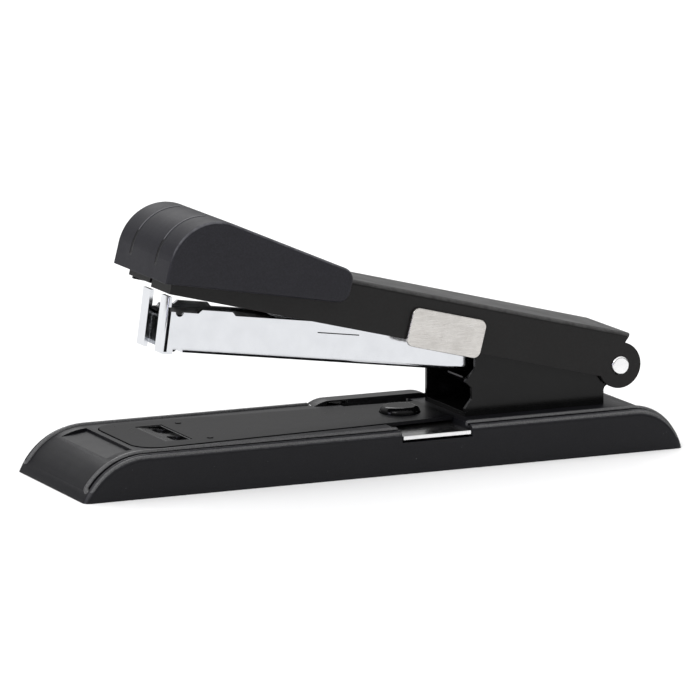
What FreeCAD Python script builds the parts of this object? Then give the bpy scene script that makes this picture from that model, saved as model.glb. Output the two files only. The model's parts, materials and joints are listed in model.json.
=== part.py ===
import FreeCAD, Part
import math
import os
import Sketcher

# A half-strip desk stapler. Millimetres, +Z up, origin at the centre of the base's underside.
# X runs along the stapler: the stapling head is at -X and the hinge at +X.
# The magazine and the cover both turn about the hinge pin. Each is drawn level, with the pin at
# its own origin and its length towards -X, and its Placement tilts it to where it rests.

DRIVING = {
    # base
    "base_length": 150.0,
    "base_width": 40.5,
    "rim_height": 10.0,
    "flat_front": 60.0,
    "flat_rear": 62.5,
    "base_wall": 1.8,
    "groove_inset": 1.3,
    "groove_width": 1.0,
    "groove_depth": 0.5,
    "groove_end": 2.4,
    "rim_round": 1.5,
    "panel_length": 6.2,
    "panel_gap": 0.7,
    "panel_width": 27.0,
    "panel_depth": 0.7,
    "sole_thickness": 2.0,
    "sole_clearance": 0.2,
    "weight_thickness": 1.6,
    "weight_length": 104.0,
    "weight_width": 30.0,
    # anvil
    "anvil_front": 59.1,
    "anvil_length": 80.0,
    "anvil_front_width": 28.8,
    "anvil_rear_width": 20.0,
    "anvil_corner": 6.0,
    "anvil_thickness": 0.8,
    "anvil_sink": 0.6,
    "anvil_clearance": 0.25,
    "anvil_stud_radius": 0.5,
    "die_front": 50.6,
    "die_length": 6.6,
    "die_width": 18.0,
    "die_thickness": 2.0,
    "die_recess": 0.15,
    "die_rim": 0.6,
    "die_trough_depth": 0.6,
    "die_pocket_length": 5.6,
    "die_pocket_width": 3.2,
    "die_pocket_depth": 1.2,
    "die_pocket_gap": 3.2,
    "stud_radius": 0.9,
    "stud_setback": 19.3,
    "stud_spread": 18.4,
    # release plate
    "release_front": 3.3,
    "release_length": 17.0,
    "release_thickness": 0.9,
    "release_height": 7.9,
    "release_travel": 0.5,
    "notch_clearance": 0.3,
    "button_radius": 4.7,
    "button_dome": 1.7,
    "button_stem_radius": 2.4,
    "button_clearance": 0.15,
    "finger_length": 30.0,
    "finger_width": 4.4,
    "finger_lift": -0.1,
    "finger_rise": 1.2,
    "finger_thickness": 0.4,
    "finger_ramp": 4.0,
    "finger_gap_length": 5.5,
    "spring_wire": 0.6,
    "spring_clearance": 0.3,
    "release_clearance": 0.1,
    # hinge
    "pin_reach": 62.5,
    "pin_height": 19.1,
    "pin_radius": 2.2,
    "pin_clearance": 0.05,
    "pin_overhang": 0.6,
    "side_clearance": 0.3,
    "bracket_front": 25.9,
    "bracket_rear": 59.0,
    "bracket_width": 21.4,
    "bracket_sheet": 1.0,
    "bracket_top": 24.5,
    "bracket_ear": 4.6,
    "bracket_fillet": 1.2,
    "rivet_radius": 1.6,
    "rivet_head_radius": 2.8,
    "rivet_head_height": 0.9,
    "spacer_radius": 3.6,
    # magazine
    "magazine_tilt": 7.9,
    "magazine_reach": 113.7,
    "staple_clearance": 0.25,
    "magazine_sheet": 0.9,
    "magazine_drop": 4.3,
    "magazine_rise": 4.85,
    "magazine_ear": 4.2,
    "nose_slot_width": 6.2,
    "nose_rise": 8.2,
    "nose_notch_radius": 1.0,
    "nose_notch_setback": 3.15,
    "nose_notch_lean": 1.0,
    "nose_seam_setback": 0.3,
    "nose_seam_width": 0.75,
    "nose_seam_depth": 0.5,
    "bend_radius": 1.0,
    "nose_radius": 0.3,
    "slit_setback": 37.8,
    "slit_length": 10.5,
    "slit_rise": 2.25,
    "slit_width": 0.25,
    "wall_step": 0.85,
    "wall_step_front": 8.6,
    "wall_step_length": 7.5,
    "nose_foot_drop": 0.5,
    "nose_foot_length": 2.5,
    "driver_slot": 1.6,
    "rail_clearance": 0.15,
    "rail_sheet": 0.8,
    "rail_slot_width": 3.2,
    "guide_length": 28.0,
    "staple_wire": 0.5,
    "staple_leg": 6.0,
    "staple_crown": 12.7,
    "strip_length": 12.0,
    "pusher_length": 14.0,
    "rod_radius": 1.0,
    "rod_drop": 0.8,
    "rod_block_length": 3.6,
    # cover
    "cover_tilt": 14.2,
    "cover_reach": 116.0,
    "cover_width": 24.0,
    "cover_sheet": 1.0,
    "cover_drop": 3.35,
    "cover_rise": 7.7,
    "cover_tail": 1.0,
    "cover_ear": 5.4,
    "cover_shoulder": 1.2,
    "cover_flap_gap": 1.2,
    "cover_flap_step": 0.7,
    "cap_width": 31.0,
    "cap_front": 118.9,
    "cap_length": 45.3,
    "cap_front_drop": 1.0,
    "cap_front_rise": 4.0,
    "cap_peak_back": 13.1,
    "cap_peak_rise": 15.1,
    "cap_rear_rise": 9.8,
    "cap_rear_bottom": 2.4,
    "cap_front_radius": 11.3,
    "cap_rear_radius": 3.0,
    "cap_wall": 1.8,
    "cap_edge": 0.7,
    "blade_clearance": 0.15,
    "blade_thickness": 0.7,
    "blade_drop": 3.2,
    "blade_shoulder": 20.0,
    # latch tab
    "tab_rear": 36.7,
    "tab_length": 19.1,
    "tab_drop": 4.7,
    "tab_rise": 4.3,
    "tab_thickness": 0.9,
    "tab_corner": 1.7,
    "tab_travel": 2.5,
    "leaf_thickness": 0.5,
    "leaf_width": 8.0,
}


class Size:
    """A length that carries its value and the expression that binds it to the spreadsheet."""

    def __init__(self, value, text):
        self.value = float(value)
        self.text = text

    @staticmethod
    def of(thing):
        if isinstance(thing, Size):
            return thing
        return Size(thing, repr(float(thing)))

    def join(self, other, sign, value):
        return Size(value, "(" + self.text + " " + sign + " " + other.text + ")")

    def __add__(self, other):
        other = Size.of(other)
        return self.join(other, "+", self.value + other.value)

    def __radd__(self, other):
        return Size.of(other) + self

    def __sub__(self, other):
        other = Size.of(other)
        return self.join(other, "-", self.value - other.value)

    def __rsub__(self, other):
        return Size.of(other) - self

    def __mul__(self, other):
        other = Size.of(other)
        return self.join(other, "*", self.value * other.value)

    def __rmul__(self, other):
        return Size.of(other) * self

    def __truediv__(self, other):
        other = Size.of(other)
        return self.join(other, "/", self.value / other.value)

    def root(self):
        return Size(math.sqrt(self.value), "sqrt(" + self.text + ")")

    def sine(self):
        return Size(math.sin(math.radians(self.value)), "sin(1 deg * " + self.text + ")")

    def __neg__(self):
        return Size(-self.value, "(0 - " + self.text + ")")


doc = FreeCAD.newDocument("stapler")
sheet = doc.addObject("Spreadsheet::Sheet", "Sizes")
for row, (alias, value) in enumerate(DRIVING.items(), start=1):
    sheet.set("A" + str(row), alias.replace("_", " "))
    sheet.set("B" + str(row), str(value))
    sheet.setAlias("B" + str(row), alias)
doc.recompute()


def size(alias):
    return Size(DRIVING[alias], "Sizes." + alias)


def bind(thing, place, length):
    if isinstance(length, Size):
        thing.setExpression(place, length.text)


PLANE_NORMAL = {"XY": 1, "XZ": -1, "YZ": 1}


def origin_plane(body, plane):
    for feature in body.Origin.OriginFeatures:
        if feature.Role == plane + "_Plane":
            return feature
    raise ValueError(plane)


def arc_between(start, end, radius):
    """The arc from start to end: its centre is to the left for a positive radius."""
    step_x = end[0] - start[0]
    step_y = end[1] - start[1]
    chord = math.hypot(step_x, step_y)
    reach = math.sqrt(max(radius * radius - chord * chord / 4, 0.0))
    side = math.copysign(1.0, radius)
    centre_x = (start[0] + end[0]) / 2 - side * reach * step_y / chord
    centre_y = (start[1] + end[1]) / 2 + side * reach * step_x / chord
    first = math.atan2(start[1] - centre_y, start[0] - centre_x)
    last = math.atan2(end[1] - centre_y, end[0] - centre_x)
    if side < 0:
        first, last = last, first
    circle = Part.Circle(FreeCAD.Vector(centre_x, centre_y, 0), FreeCAD.Vector(0, 0, 1), abs(radius))
    return Part.ArcOfCircle(circle, first, last)


def constrain(sketch, kind, places, length):
    index = sketch.addConstraint(Sketcher.Constraint(kind, *places, Size.of(length).value))
    bind(sketch, "Constraints[" + str(index) + "]", length)


def draw_outline(sketch, corners):
    """A closed outline. A corner's third value is the radius of the arc to the next corner."""
    edges = []
    count = len(corners)
    for index, corner in enumerate(corners):
        after = corners[(index + 1) % count]
        start = (Size.of(corner[0]).value, Size.of(corner[1]).value)
        end = (Size.of(after[0]).value, Size.of(after[1]).value)
        if len(corner) == 3:
            radius = Size.of(corner[2])
            edge = sketch.addGeometry(arc_between(start, end, radius.value), False)
            turned = radius.value < 0
            edges.append((edge, 2, 1) if turned else (edge, 1, 2))
            constrain(sketch, "Radius", (edge,), -radius if turned else radius)
        else:
            line = Part.LineSegment(FreeCAD.Vector(*start, 0), FreeCAD.Vector(*end, 0))
            edges.append((sketch.addGeometry(line, False), 1, 2))
    for index, corner in enumerate(corners):
        edge, first, _ = edges[index]
        before, _, last = edges[index - 1]
        sketch.addConstraint(Sketcher.Constraint("Coincident", before, last, edge, first))
        constrain(sketch, "DistanceX", (-1, 1, edge, first), corner[0])
        constrain(sketch, "DistanceY", (-1, 1, edge, first), corner[1])


def draw_circle(sketch, centre_x, centre_y, radius):
    centre = FreeCAD.Vector(Size.of(centre_x).value, Size.of(centre_y).value, 0)
    circle = Part.Circle(centre, FreeCAD.Vector(0, 0, 1), Size.of(radius).value)
    edge = sketch.addGeometry(circle, False)
    constrain(sketch, "Radius", (edge,), radius)
    constrain(sketch, "DistanceX", (-1, 1, edge, 3), centre_x)
    constrain(sketch, "DistanceY", (-1, 1, edge, 3), centre_y)


def disc(centre_x, centre_y, radius):
    return {"circle": (centre_x, centre_y, radius)}


def draw(body, plane, loops, offset):
    sketch = body.newObject("Sketcher::SketchObject", body.Label + "_sketch")
    sketch.AttachmentSupport = [(origin_plane(body, plane), "")]
    sketch.MapMode = "FlatFace"
    offset = Size.of(offset)
    sketch.AttachmentOffset = FreeCAD.Placement(FreeCAD.Vector(0, 0, offset.value), FreeCAD.Rotation())
    bind(sketch, "AttachmentOffset.Base.z", offset)
    for loop in loops:
        if isinstance(loop, dict):
            draw_circle(sketch, *loop["circle"])
        else:
            draw_outline(sketch, loop)
    return sketch


def add(body, plane, loops, low, high):
    """Adds the outlines, spread from low to high along the axis that the plane faces."""
    start = low if PLANE_NORMAL[plane] > 0 else -Size.of(high)
    pad = body.newObject("PartDesign::Pad", body.Label + "_pad")
    pad.Profile = draw(body, plane, loops, start)
    length = Size.of(high) - Size.of(low)
    pad.Length = length.value
    bind(pad, "Length", length)
    doc.recompute()
    return pad


def cut(body, plane, loops, low, high):
    """Cuts the outlines away, from low to high along the axis that the plane faces."""
    volume = body.Shape.Volume
    start = high if PLANE_NORMAL[plane] > 0 else -Size.of(low)
    pocket = body.newObject("PartDesign::Pocket", body.Label + "_pocket")
    pocket.Profile = draw(body, plane, loops, start)
    length = Size.of(high) - Size.of(low)
    pocket.Length = length.value
    bind(pocket, "Length", length)
    doc.recompute()
    if body.Shape.Volume >= volume:
        raise ValueError("a cut in " + body.Label + " removes nothing")
    return pocket


def round_edges(body, radius, chosen):
    """Rounds the edges for which chosen(edge) is true."""
    names = []
    for index, edge in enumerate(body.Shape.Edges, start=1):
        if chosen(edge):
            names.append("Edge" + str(index))
    fillet = body.newObject("PartDesign::Fillet", body.Label + "_fillet")
    fillet.Base = (body.Tip if body.Tip is not fillet else fillet.BaseFeature, names)
    fillet.Radius = Size.of(radius).value
    bind(fillet, "Radius", radius)
    doc.recompute()
    return fillet


def box_loop(x_low, y_low, x_high, y_high):
    return [(x_low, y_low), (x_high, y_low), (x_high, y_high), (x_low, y_high)]


def rounded_loop(x_low, y_low, x_high, y_high, radius):
    return [
        (x_low + radius, y_low),
        (x_high - radius, y_low, radius),
        (x_high, y_low + radius),
        (x_high, y_high - radius, radius),
        (x_high - radius, y_high),
        (x_low + radius, y_high, radius),
        (x_low, y_high - radius),
        (x_low, y_low + radius, radius),
    ]


PARTS = []


def new_body(label):
    body = doc.addObject("PartDesign::Body", label)
    body.Label = label
    body.AllowCompound = True
    PARTS.append(body)
    return body


def place(body, x, z, tilt=0.0):
    """Puts a body's origin at x, z and lifts its -X end by the tilt."""
    origin = FreeCAD.Vector(Size.of(x).value, 0, Size.of(z).value)
    turn = FreeCAD.Rotation(FreeCAD.Vector(0, 1, 0), Size.of(tilt).value)
    body.Placement = FreeCAD.Placement(origin, turn)
    bind(body, "Placement.Base.x", x)
    bind(body, "Placement.Base.z", z)
    if isinstance(tilt, Size):
        bind(body, "Placement.Rotation.Angle", tilt)


def along(edge, axis):
    """True if a straight edge runs along X, Y or Z (0, 1 or 2)."""
    if len(edge.Vertexes) != 2:
        return False
    span = edge.Vertexes[1].Point - edge.Vertexes[0].Point
    return abs(abs(span[axis]) - span.Length) < 1e-6 and span.Length > 1e-6


def on_side_above_table(edge):
    """True for the edges of a side face, apart from those on the table."""
    return edge.BoundBox.YLength < 0.01 and edge.BoundBox.ZMax > 0.01


# ---------------------------------------------------------------- shared places

base_half = size("base_length") / 2
side = size("base_width") / 2
deck = size("rim_height")
wall = size("base_wall")
shell_ceiling = size("rim_height") - wall
anvil_low = deck - size("anvil_sink")
anvil_top = anvil_low + size("anvil_thickness")
weight_top = size("sole_thickness") + size("weight_thickness")

release_low = size("release_height")
release_high = release_low + size("release_thickness")
release_rear = size("release_front") + size("release_length")
release_middle = size("release_front") + size("release_length") / 2
notch_front = size("release_front") - size("notch_clearance")
notch_rear = release_rear + size("notch_clearance")
notch_floor = release_low - size("release_travel") - size("release_clearance")
finger_outer = side - size("groove_inset")
finger_inner = finger_outer - size("finger_width")
finger_half = size("finger_length") / 2
finger_low = deck + size("finger_lift")
finger_floor = finger_low - size("release_travel") - size("spring_clearance")

die_rear = size("die_front") - size("die_length")
die_top = anvil_top - size("die_recess")
die_floor = die_top - size("die_thickness")

pin_x = size("pin_reach")
pin_z = size("pin_height")
pin_hole = size("pin_radius") + size("pin_clearance")
bracket_side = size("bracket_width") / 2
bracket_inside = bracket_side - size("bracket_sheet")
bracket_floor = deck + size("bracket_sheet")
cover_side = size("cover_width") / 2
cover_inside = cover_side - size("cover_sheet")
cover_ceiling = size("cover_rise") - size("cover_sheet")

magazine_inside = size("staple_crown") / 2 + size("staple_clearance")
magazine_side = magazine_inside + size("magazine_sheet")
magazine_floor = size("magazine_sheet") - size("magazine_drop")
flap_rear = size("magazine_reach") - size("magazine_sheet")
slot_rear = flap_rear - size("driver_slot")
rail_side = size("staple_crown") / 2 - size("staple_wire") - size("rail_clearance")
rail_top = magazine_floor + size("staple_leg") - size("staple_wire")
strip_rear = slot_rear - size("strip_length")
pusher_rear = strip_rear - size("pusher_length")
rail_rear = size("magazine_reach") * 0.26
rod_z = -size("rod_drop")
anchor_front = rail_rear + size("rod_block_length")

blade_front = flap_rear - size("driver_slot") * 0.17
blade_rear = blade_front - size("blade_thickness")
blade_half = size("staple_crown") / 2 - size("blade_clearance")
blade_rivet_head = size("stud_radius") * 0.7
cap_rear = size("cap_front") - size("cap_length")
cap_side = size("cap_width") / 2
tab_front = size("tab_rear") + size("tab_length")
tab_middle = size("tab_rear") + size("tab_length") / 2
tab_inside = cover_side + size("pin_clearance")
tab_outside = tab_inside + size("tab_thickness")


# ---------------------------------------------------------------- base


def end_radius(flat):
    """The radius of an end's curve, which leaves the flat top and just reaches the base's length."""
    run = base_half - flat
    return (run * run + deck * deck) / (deck * 2)


def end_reach(flat, inset, height=0.0):
    """How far from the centre an end's curve is at a height, at an inset from the surface."""
    radius = end_radius(flat)
    rise = radius - deck + height
    return flat + ((radius - inset) * (radius - inset) - rise * rise).root()


def base_profile(inset):
    """The base's outline from the side: a flat top whose two ends curve down to the table."""
    front = size("flat_front")
    rear = size("flat_rear")
    high = deck - inset
    return [
        (-end_reach(front, inset), 0),
        (end_reach(rear, inset), 0, end_radius(rear) - inset),
        (rear, high),
        (-front, high, end_radius(front) - inset),
    ]


def groove_profile(depth):
    """The band along the base's top and ends, from its surface down to the depth."""
    front = size("flat_front")
    rear = size("flat_rear")
    low = size("groove_end")
    return [
        (-end_reach(front, -depth, low), low),
        (-end_reach(front, depth, low), low, depth - end_radius(front)),
        (-front, deck - depth),
        (rear, deck - depth, depth - end_radius(rear)),
        (end_reach(rear, depth, low), low),
        (end_reach(rear, -depth, low), low, end_radius(rear) + depth),
        (rear, deck + depth),
        (-front, deck + depth, end_radius(front) + depth),
    ]


def anvil_outline(spread):
    """The anvil plate's outline, made larger all round by the spread."""
    front = -size("anvil_front") - spread
    rear = size("anvil_length") - size("anvil_front") + spread
    corner = size("anvil_corner")
    front_half = size("anvil_front_width") / 2 + spread
    rear_half = size("anvil_rear_width") / 2 + spread
    return [
        (front + corner, -front_half),
        (rear, -rear_half),
        (rear, rear_half),
        (front + corner, front_half, corner),
        (front, front_half - corner),
        (front, corner - front_half, corner),
    ]


def panel_wedge():
    """The plain recess across the front of the base, seen from the side."""
    rear = -size("flat_front") - size("panel_gap")
    run = size("panel_gap") + size("panel_length")
    radius = end_radius(size("flat_front"))
    front_z = deck - radius + (radius * radius - run * run).root()
    front = -size("flat_front") - run
    return [(front, front_z), (rear, deck - size("panel_depth")), (rear, deck + 1), (front, deck + 1)]


def base_shell():
    body = new_body("base_shell")
    add(body, "XZ", [base_profile(0)], -side, side)
    round_edges(body, size("rim_round"), on_side_above_table)
    groove_outer = side - size("groove_inset")
    groove_inner = groove_outer - size("groove_width")
    ring = [groove_profile(size("groove_depth"))]
    for low, high in ((groove_inner, groove_outer), (-groove_outer, -groove_inner)):
        cut(body, "XZ", ring, low, high)
    cut(body, "XZ", [panel_wedge()], -size("panel_width") / 2, size("panel_width") / 2)
    cut(body, "XZ", [base_profile(wall)], wall - side, side - wall)
    cut(body, "XY", [anvil_outline(size("anvil_clearance"))], anvil_low, deck + 1)
    notch = box_loop(notch_front, -side - 1, notch_rear, side + 1)
    cut(body, "XY", [notch], notch_floor, deck + 1)
    grip_front = release_middle - finger_half - size("spring_clearance")
    grip_rear = release_middle + finger_half + size("spring_clearance")
    grip = box_loop(grip_front, finger_inner - size("spring_clearance"), grip_rear, side + 1)
    cut(body, "XY", [grip], finger_floor, deck + 1)
    die_half = size("die_width") / 2
    add(
        body,
        "XY",
        [box_loop(-size("die_front") - wall, -die_half - wall, wall - die_rear, die_half + wall)],
        die_floor - wall,
        anvil_low,
    )
    cut(body, "XY", [box_loop(-size("die_front"), -die_half, -die_rear, die_half)], die_floor, deck + 1)
    studs = [disc(x, y, size("anvil_stud_radius")) for x, y in stud_places()]
    rivets = [disc(x, 0, size("rivet_radius")) for x in rivet_places()]
    cut(body, "XY", studs + rivets, shell_ceiling - 1, deck + 1)


def stud_places():
    """Two studs behind the clinch die, one each side."""
    x = size("stud_setback") - size("anvil_front")
    return [(x, size("stud_spread") / 2), (x, -size("stud_spread") / 2)]


def rivet_places():
    """Two rivets on the centre line, near the front and the rear of the bracket's floor."""
    length = size("bracket_rear") - size("bracket_front")
    return [size("bracket_front") + length / 4, size("bracket_front") + length * 3 / 4]


def base_sole():
    body = new_body("base_sole")
    thick = size("sole_thickness")
    front = size("sole_clearance") - end_reach(size("flat_front"), wall, thick)
    rear = end_reach(size("flat_rear"), wall, thick) - size("sole_clearance")
    half_width = side - wall
    outline = rounded_loop(front, -half_width, rear, half_width, wall)
    add(body, "XY", [outline], 0, size("sole_thickness"))


def base_weight():
    body = new_body("base_weight")
    half = size("weight_length") / 2
    half_width = size("weight_width") / 2
    add(body, "XY", [box_loop(-half, -half_width, half, half_width)], size("sole_thickness"), weight_top)


def anvil_plate():
    body = new_body("anvil_plate")
    add(body, "XY", [anvil_outline(0)], anvil_low, anvil_top)
    die_half = size("die_width") / 2
    opening = box_loop(-size("die_front"), -die_half, -die_rear, die_half)
    cut(body, "XY", [opening], anvil_low - 1, anvil_top + 1)
    studs = [disc(x, y, size("anvil_stud_radius")) for x, y in stud_places()]
    button_hole = size("button_radius") + size("button_clearance")
    cut(body, "XY", studs + [disc(release_middle, 0, button_hole)], anvil_low - 1, anvil_top + 1)


def anvil_studs():
    body = new_body("anvil_studs")
    shanks = [disc(x, y, size("anvil_stud_radius")) for x, y in stud_places()]
    add(body, "XY", shanks, shell_ceiling, anvil_top)
    heads = [disc(x, y, size("anvil_stud_radius") * 1.5) for x, y in stud_places()]
    add(body, "XY", heads, anvil_top, anvil_top + size("anvil_stud_radius") / 3)


def clinch_die():
    """The block that turns the staple's legs: a sloping trough with a deeper pocket at each end."""
    body = new_body("clinch_die")
    half = size("die_width") / 2
    front = -size("die_front")
    rim = size("die_rim")
    add(body, "XY", [box_loop(front, -half, -die_rear, half)], die_floor, die_top)
    trough_rear = -die_rear - rim
    trough = [
        (front + rim, die_top),
        (trough_rear, die_top - size("die_trough_depth")),
        (trough_rear, die_top + 1),
        (front + rim, die_top + 1),
    ]
    cut(body, "XZ", [trough], rim - half, half - rim)
    pocket_front = trough_rear - size("die_pocket_width")
    inner = size("die_pocket_gap") / 2
    outer = inner + size("die_pocket_length")
    corner = size("die_pocket_width") * 0.45
    pockets = [
        rounded_loop(pocket_front, inner, trough_rear, outer, corner),
        rounded_loop(pocket_front, -outer, trough_rear, -inner, corner),
    ]
    cut(body, "XY", pockets, die_top - size("die_pocket_depth"), die_top + 1)


def release_plate():
    body = new_body("release_plate")
    add(
        body,
        "XY",
        [box_loop(size("release_front"), -side, release_rear, side)],
        release_low,
        release_high,
    )


def release_button():
    body = new_body("release_button")
    dome_low = anvil_top - size("button_clearance")
    add(body, "XY", [disc(release_middle, 0, size("button_stem_radius"))], release_high, dome_low)
    dome_high = dome_low + size("button_dome")
    head = add(body, "XY", [disc(release_middle, 0, size("button_radius"))], dome_low, dome_high)
    top = head.Shape.BoundBox.ZMax
    round_edges(body, size("button_dome") * 0.9, lambda edge: edge.BoundBox.ZMin > top - 0.01)


def finger_tab():
    """The raised grip at the far end of the release plate, along the base's edge."""
    body = new_body("finger_tab")
    front = release_middle - finger_half
    rear = release_middle + finger_half
    top = finger_low + size("finger_rise")
    ramp = size("finger_ramp")
    ramp_radius = (ramp * ramp + size("finger_rise") * size("finger_rise")) / (size("finger_rise") * 2)
    outline = [
        (front, finger_low),
        (rear, finger_low, ramp_radius),
        (rear - ramp, top),
        (front + ramp, top, ramp_radius),
    ]
    add(body, "XZ", [outline], finger_inner, finger_outer)
    gap_front = front + ramp * 0.8
    gap_low = finger_low + size("finger_thickness") / 2
    gap_rear = gap_front + size("finger_gap_length")
    gap = box_loop(gap_front, gap_low, gap_rear, top - size("finger_thickness"))
    cut(body, "XZ", [gap], finger_inner - 1, finger_outer + 1)
    post = box_loop(size("release_front"), finger_inner, release_rear, finger_outer)
    add(body, "XY", [post], release_high, finger_low + size("finger_thickness") / 4)


def release_spring():
    """A sleeve of the coil's own size between the weight plate and the release plate."""
    body = new_body("release_spring")
    outer = size("button_stem_radius")
    add(
        body,
        "XY",
        [disc(release_middle, 0, outer), disc(release_middle, 0, outer - size("spring_wire"))],
        weight_top,
        release_low,
    )


# ---------------------------------------------------------------- hinge


def bracket_wall(front_edge):
    """One side wall of the bracket, with the front edge given from its top down."""
    rear = size("bracket_rear")
    ear = size("bracket_ear")
    fillet = size("bracket_fillet")
    return [
        (rear, deck),
        (rear, pin_z - ear - fillet, -fillet),
        (rear + fillet, pin_z - ear),
        (pin_x, pin_z - ear),
        (pin_x, pin_z + ear),
    ] + front_edge


def hinge_bracket():
    body = new_body("hinge_bracket")
    front = size("bracket_front")
    top = size("bracket_top")
    lip = size("bracket_sheet") * 2.6
    low = deck
    foot = front - lip
    plain_edge = [(front + lip, top), (front, top), (foot, pin_z), (foot, low)]
    cut_edge = [
        (front + lip, top),
        (front, top),
        (front, top - lip * 1.4),
        (foot, pin_z - size("bracket_sheet")),
        (front - lip / 3, pin_z - lip),
        (front - lip / 3, pin_z - lip * 2),
        (foot, low + lip * 0.7),
        (foot, low),
    ]
    add(body, "XZ", [box_loop(foot, low, size("bracket_rear"), bracket_floor)], -bracket_side, bracket_side)
    add(body, "XZ", [bracket_wall(cut_edge)], -bracket_side, -bracket_inside)
    add(body, "XZ", [bracket_wall(plain_edge)], bracket_inside, bracket_side)
    for inner, outer in ((-bracket_side, -bracket_inside), (bracket_inside, bracket_side)):
        add(body, "XZ", [disc(pin_x, pin_z, size("bracket_ear"))], inner, outer)
    cut(body, "XZ", [disc(pin_x, pin_z, size("pin_radius"))], -bracket_side - 1, bracket_side + 1)
    rivets = [disc(x, 0, size("rivet_radius")) for x in rivet_places()]
    cut(body, "XY", rivets, low - 1, bracket_floor + 1)


def bracket_rivets():
    body = new_body("bracket_rivets")
    shanks = [disc(x, 0, size("rivet_radius")) for x in rivet_places()]
    add(body, "XY", shanks, shell_ceiling, bracket_floor)
    for low in (bracket_floor, shell_ceiling - size("rivet_head_height")):
        heads = [disc(x, 0, size("rivet_head_radius")) for x in rivet_places()]
        add(body, "XY", heads, low, low + size("rivet_head_height"))


def hinge_pin():
    body = new_body("hinge_pin")
    half = cover_side + size("pin_overhang")
    add(body, "XZ", [disc(0, 0, size("pin_radius"))], -half, half)
    round_edges(body, size("pin_overhang") * 0.8, lambda edge: edge.BoundBox.YLength < 0.01)
    place(body, pin_x, pin_z)


def pin_spacers():
    body = new_body("pin_spacers")
    ring = [disc(0, 0, size("spacer_radius")), disc(0, 0, size("pin_radius"))]
    inner = magazine_side + size("side_clearance") / 2
    add(body, "XZ", ring, inner, bracket_inside)
    add(body, "XZ", ring, -bracket_inside, -inner)
    place(body, pin_x, pin_z)


def lift_spring():
    """The leaf that holds the magazine up off the anvil: flat on the bracket, then rising."""
    body = new_body("lift_spring")
    thick = size("leaf_thickness")
    head = size("rivet_head_height")
    rear = size("bracket_rear") - size("rivet_head_radius") * 2
    bend = size("bracket_front") + (size("bracket_rear") - size("bracket_front")) / 4
    low = bracket_floor + head
    tip_x = size("bracket_front")
    tip_z = pin_z - size("leaf_thickness") * 2
    outline = [
        (tip_x, tip_z - thick),
        (bend, low),
        (rear, low),
        (rear, low + thick),
        (bend, low + thick),
        (tip_x, tip_z),
    ]
    add(body, "XZ", [outline], -size("leaf_width") / 2, size("leaf_width") / 2)


# ---------------------------------------------------------------- magazine


def place_magazine(body):
    place(body, pin_x, pin_z, size("magazine_tilt"))


def magazine_channel():
    body = new_body("magazine_channel")
    low = -size("magazine_drop")
    high = size("magazine_rise")
    foot = low - size("nose_foot_drop")
    front = -size("magazine_reach")
    foot_rear = front + size("nose_foot_length")
    heel = size("magazine_drop") * 0.4
    heel_x = -rail_rear - heel * 4
    ear = size("magazine_ear")
    step = size("wall_step")
    step_front = front + size("wall_step_front")
    step_rear = step_front + size("wall_step_length")
    outline = [
        (front, foot),
        (foot_rear, foot),
        (foot_rear, low),
        (heel_x, low, heel * 1.2),
        (heel_x + heel, low + heel),
        (0, low + heel),
        (0, ear),
        (-rail_rear, high),
        (step_rear + step, high),
        (step_rear, high + step),
        (step_front, high + step),
        (step_front - step, high),
        (front + size("magazine_sheet"), high),
        (front + size("magazine_sheet"), size("nose_rise")),
        (front, size("nose_rise")),
    ]
    add(body, "XZ", [outline], -magazine_side, magazine_side)
    add(body, "XZ", [disc(0, 0, ear)], -magazine_side, magazine_side)
    bottom = lambda edge: along(edge, 0) and abs(edge.BoundBox.ZMax - low.value) < 0.01
    nose = lambda edge: along(edge, 2) and edge.BoundBox.XMax < front.value + 0.01
    round_edges(body, size("bend_radius"), bottom)
    round_edges(body, size("nose_radius"), nose)
    inside = box_loop(front + size("magazine_sheet"), magazine_floor, ear + 1, size("nose_rise") + 1)
    cut(body, "XZ", [inside], -magazine_inside, magazine_inside)
    under = box_loop(-rail_rear, low - 1, ear + 1, ear + 1)
    cut(body, "XZ", [under], -magazine_inside, magazine_inside)
    slot_half = size("nose_slot_width") / 2
    slot = box_loop(-slot_half, foot - 1, slot_half, size("nose_rise") + 1)
    cut(body, "YZ", [slot], front - 1, -flap_rear)
    exit_hole = box_loop(-flap_rear, -magazine_inside, -slot_rear, magazine_inside)
    cut(body, "XY", [exit_hole], foot - 1, magazine_floor + 1)
    cut(body, "XZ", [disc(0, 0, pin_hole)], -magazine_side - 1, magazine_side + 1)
    notch_x = front + size("nose_notch_setback")
    low_notch_x = notch_x + size("nose_notch_lean")
    notches = [disc(x, z, size("nose_notch_radius")) for x, z in ((notch_x, high), (low_notch_x, low))]
    cut(body, "XZ", notches, -magazine_side - 1, magazine_side + 1)
    slit_front = front + size("slit_setback")
    slit_low = size("slit_rise")
    slit = box_loop(slit_front, slit_low, slit_front + size("slit_length"), slit_low + size("slit_width"))
    cut(body, "XZ", [slit], -magazine_side - 1, magazine_side + 1)
    seam_front = front + size("nose_seam_setback")
    seam = box_loop(seam_front, low, seam_front + size("nose_seam_width"), high + 1)
    for inner, outer in (
        (-magazine_side - 1, size("nose_seam_depth") - magazine_side),
        (magazine_side - size("nose_seam_depth"), magazine_side + 1),
    ):
        cut(body, "XZ", [seam], inner, outer)
    place_magazine(body)


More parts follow.
